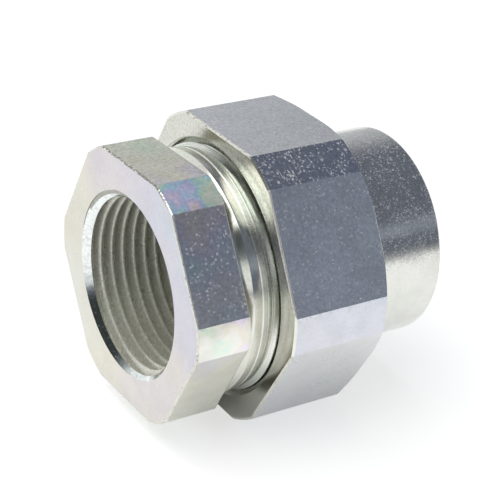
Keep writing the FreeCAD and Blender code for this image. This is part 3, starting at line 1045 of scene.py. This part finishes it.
def makeNut():
    settings = nutSettings
    corner, slope = settings["cornerRadius"], settings["chamferSlope"]
    frontChamfer, backChamfer = settings["frontChamfer"], settings["backChamfer"]
    bore, boreBreak = settings["boreRadius"], settings["boreBreak"]
    drilled = unionThread["femaleMinorRadius"] - settings["undersize"]
    shoulderX = nutBackX - settings["wall"]
    threadEndX = nutFrontX + settings["threadLength"]
    mouthDepth = (settings["mouthRadius"] - drilled) * settings["mouthSlope"]
    corners = [
        (nutFrontX, corner - frontChamfer),
        (nutFrontX + frontChamfer * slope, corner),
        (nutBackX - backChamfer * slope, corner),
        (nutBackX, corner - backChamfer),
        (nutBackX, bore + boreBreak),
        (nutBackX - boreBreak, bore),
        (shoulderX + settings["boreChamfer"], bore),
        (shoulderX, bore + settings["boreChamfer"]),
        (shoulderX, settings["pocketRadius"]),
        (threadEndX, settings["pocketRadius"]),
        (threadEndX, drilled),
        (nutFrontX + mouthDepth, drilled),
        (nutFrontX, settings["mouthRadius"]),
    ]
    piece = turnBlank("unionNutPiece", corners, settings["steps"])
    overrun = settings["cutterOverrun"]
    cutter = hexCutter("nutFlats", settings, nutFrontX, nutBackX, overrun, overrun)
    combine(piece, cutter, "DIFFERENCE")
    clearance = unionThread["clearance"]
    female = dict(unionThread, crestRadius=unionThread["majorRadius"] + clearance,
                  rootRadius=unionThread["femaleMinorRadius"] + clearance)
    tap = threadedRod("nutTap", female, nutFrontX - settings["tapOverrun"],
                      threadEndX + settings["tapOverrun"], threadSteps)
    combine(piece, tap, "DIFFERENCE")
    paintNut(piece)
    return piece


# Shading is smooth but for sharp angles and the rims of faces square to the axis.
def finishPiece(piece, body, node):
    selectOnly(piece)
    bpy.ops.object.shade_smooth_by_angle(angle=math.radians(20))
    kindsByEdge = {}
    for face in piece.data.polygons:
        for key in face.edge_keys:
            kindsByEdge.setdefault(key, set()).add(abs(face.normal.x) > aligned)
    for edge in piece.data.edges:
        if len(kindsByEdge[edge.key]) > 1:
            edge.use_edge_sharp = True
    weighted = piece.modifiers.new("flatSides", "WEIGHTED_NORMAL")
    weighted.keep_sharp = True
    applyModifier(piece, weighted)
    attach(piece, body)
    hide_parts(node)


hexBody = makeHexBody()
print("hexagonal half modelled", len(hexBody.data.polygons))
sleeve = makeSleeve()
print("sleeve modelled", len(sleeve.data.polygons))
nut = makeNut()
print("nut modelled", len(nut.data.polygons))
finishPiece(hexBody, "body", "hex_body")
finishPiece(sleeve, "sleeve", "sleeve")
finishPiece(nut, "nut", "union_nut")


# Camera at the photograph's angle

cameraSizes = {
    "place": (-0.14104, -0.20808, 0.1300),
    "azimuth": math.radians(56.165),
    "elevation": math.radians(27.165),
    "roll": math.radians(-4.12),
    "lens": 114.48,
    "sensor": 36.0,
    "nearest": 0.01,
}


def makeCamera():
    azimuth = cameraSizes["azimuth"]
    elevation = cameraSizes["elevation"]
    roll = cameraSizes["roll"]
    forward = Vector((math.cos(azimuth) * math.cos(elevation),
                      math.sin(azimuth) * math.cos(elevation), -math.sin(elevation)))
    level = forward.cross(Vector((0, 0, 1))).normalized()
    down = forward.cross(level)
    right = math.cos(roll) * level + math.sin(roll) * down
    up = math.sin(roll) * level - math.cos(roll) * down
    data = bpy.data.cameras.new("camera")
    data.lens = cameraSizes["lens"]
    data.sensor_width = cameraSizes["sensor"]
    data.clip_start = cameraSizes["nearest"]
    camera = bpy.data.objects.new("camera", data)
    bpy.context.scene.collection.objects.link(camera)
    turned = Matrix((right, up, -forward)).transposed().to_4x4()
    camera.matrix_world = Matrix.Translation(cameraSizes["place"]) @ turned
    bpy.context.scene.camera = camera


makeCamera()
print("camera ready")


# Floor. It glows a little to the camera and in reflections, over the light and the
# shadow that fall on it, so that it shows white. Reflections see no glow where the
# part's own shadow lies, nor far out in front.
floorSizes = {
    "size": 6.0,
    "colour": (0.73, 0.73, 0.72, 1),
    "roughness": 0.9,
    "specular": 0.1,
    "glowColour": (1, 1, 0.99, 1),
    "glow": 0.60,
    "shadowHalfLength": 0.012,
    "shadowSquash": 1.5,
    "shadowEdge": (0.004, 0.028),
    "frontEdge": (-0.28, -0.20),
}


def makeFloor():
    sizes = floorSizes
    startFresh()
    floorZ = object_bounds()[0].z
    bpy.ops.mesh.primitive_plane_add(size=sizes["size"], location=(0, 0, floorZ))
    floor = bpy.context.object
    floor.name = "floor"
    applyPlace(floor)
    material = bpy.data.materials.new("paleFloor")
    material.use_nodes = True
    tree = material.node_tree
    shader = tree.nodes["Principled BSDF"]
    shader.inputs["Base Color"].default_value = sizes["colour"]
    shader.inputs["Roughness"].default_value = sizes["roughness"]
    shader.inputs["Specular IOR Level"].default_value = sizes["specular"]
    shader.inputs["Emission Color"].default_value = sizes["glowColour"]
    rays = tree.nodes.new("ShaderNodeLightPath").outputs
    place = tree.nodes.new("ShaderNodeTexCoord").outputs["Object"]
    x, y = splitVector(tree, place)[:2]
    along = calc(tree, "SUBTRACT", calc(tree, "ABSOLUTE", x), sizes["shadowHalfLength"])
    along = calc(tree, "MULTIPLY", calc(tree, "MAXIMUM", along, 0.0), sizes["shadowSquash"])
    squares = calc(tree, "MULTIPLY_ADD", along, along, calc(tree, "MULTIPLY", y, y))
    clear = spread(tree, calc(tree, "SQRT", squares), *sizes["shadowEdge"])
    clear = calc(tree, "MULTIPLY", clear, spread(tree, y, *sizes["frontEdge"]))
    mirrored = calc(tree, "MULTIPLY", rays["Is Glossy Ray"], clear)
    seen = calc(tree, "MAXIMUM", rays["Is Camera Ray"], mirrored)
    seen = calc(tree, "MAXIMUM", seen, rays["Is Transmission Ray"])
    glow = calc(tree, "MULTIPLY", seen, sizes["glow"])
    feed(tree, shader.inputs["Emission Strength"], glow)
    floor.data.materials.append(material)


# World, by direction: pale walls behind and low on the left, dark high on the left, dim
# overhead on the right and in front, where one pale band stands. Pairs give where an
# effect starts and where it is full.
worldLooks = {
    "dim": (0.14, 0.156, 0.20, 1),
    "pale": (0.98, 0.99, 1.0, 1),
    "dark": (0.035, 0.04, 0.04, 1),
    "band": (0.28, 0.31, 0.38, 1),
    "behindX": -0.55,
    "behindY": 1.04,
    "behindStart": -0.14,
    "palest": 0.88,
    "left": (-0.4, -0.7),
    "side": (-0.65, -0.50),
    "frontHorizon": 0.42,
    "sideDrop": -0.28,
    "horizonBlur": 0.1,
    "bandFront": (-0.3, -0.6),
    "bandRight": (0.0, 0.3),
    "bandFoot": (0.22, 0.28),
    "bandTop": (0.46, 0.40),
}


def makeWorld():
    looks = worldLooks
    world = bpy.data.worlds.new("studio")
    bpy.context.scene.world = world
    world.use_nodes = True
    tree = world.node_tree
    direction = tree.nodes.new("ShaderNodeTexCoord").outputs["Generated"]
    x, y, z = splitVector(tree, direction)
    behind = calc(tree, "MULTIPLY_ADD", y, looks["behindY"], looks["behindStart"])
    behind = calc(tree, "MULTIPLY_ADD", x, looks["behindX"], behind)
    left = spread(tree, x, *looks["left"])
    side = spread(tree, y, *looks["side"])
    horizon = calc(tree, "MULTIPLY_ADD", side, looks["sideDrop"], looks["frontHorizon"])
    above = calc(tree, "SUBTRACT", z, horizon)
    lowLeft = calc(tree, "MULTIPLY", left, spread(tree, above, 0.0, -looks["horizonBlur"]))
    highLeft = calc(tree, "MULTIPLY", left, spread(tree, above, 0.0, looks["horizonBlur"]))
    wall = calc(tree, "MAXIMUM", behind, lowLeft)
    wall = calc(tree, "MULTIPLY", wall, calc(tree, "SUBTRACT", 1.0, highLeft))
    wall = spread(tree, wall, 0.0, looks["palest"])
    colour = mixColour(tree, wall, looks["dim"], looks["pale"])
    colour = mixColour(tree, calc(tree, "MULTIPLY", highLeft, side), colour, looks["dark"])
    band = calc(tree, "MULTIPLY", spread(tree, y, *looks["bandFront"]),
                spread(tree, x, *looks["bandRight"]))
    band = calc(tree, "MULTIPLY", band, spread(tree, z, *looks["bandFoot"]))
    band = calc(tree, "MULTIPLY", band, spread(tree, z, *looks["bandTop"]))
    colour = mixColour(tree, band, colour, looks["band"])
    feed(tree, tree.nodes["Background"].inputs["Color"], colour)


softboxSizes = {
    "direction": (-0.309, -0.03, 0.951),
    "distance": 0.95,
    "size": (1.10, 1.0),
    "power": 5.2,
    "colour": (1, 0.99, 0.97),
}


def addSoftbox():
    sizes = softboxSizes
    data = bpy.data.lights.new("softbox", "AREA")
    data.shape = "ELLIPSE"
    data.size, data.size_y = sizes["size"]
    data.energy = sizes["power"]
    data.color = sizes["colour"]
    lamp = bpy.data.objects.new("softbox", data)
    bpy.context.scene.collection.objects.link(lamp)
    toward = Vector(sizes["direction"]).normalized()
    side = Vector((0, 1, 0)).cross(toward).normalized()
    turned = Matrix((side, toward.cross(side), toward)).transposed().to_4x4()
    lamp.matrix_world = Matrix.Translation(toward * sizes["distance"]) @ turned


makeFloor()
makeWorld()
addSoftbox()
bpy.context.scene.view_settings.view_transform = "Standard"
print("stage ready")
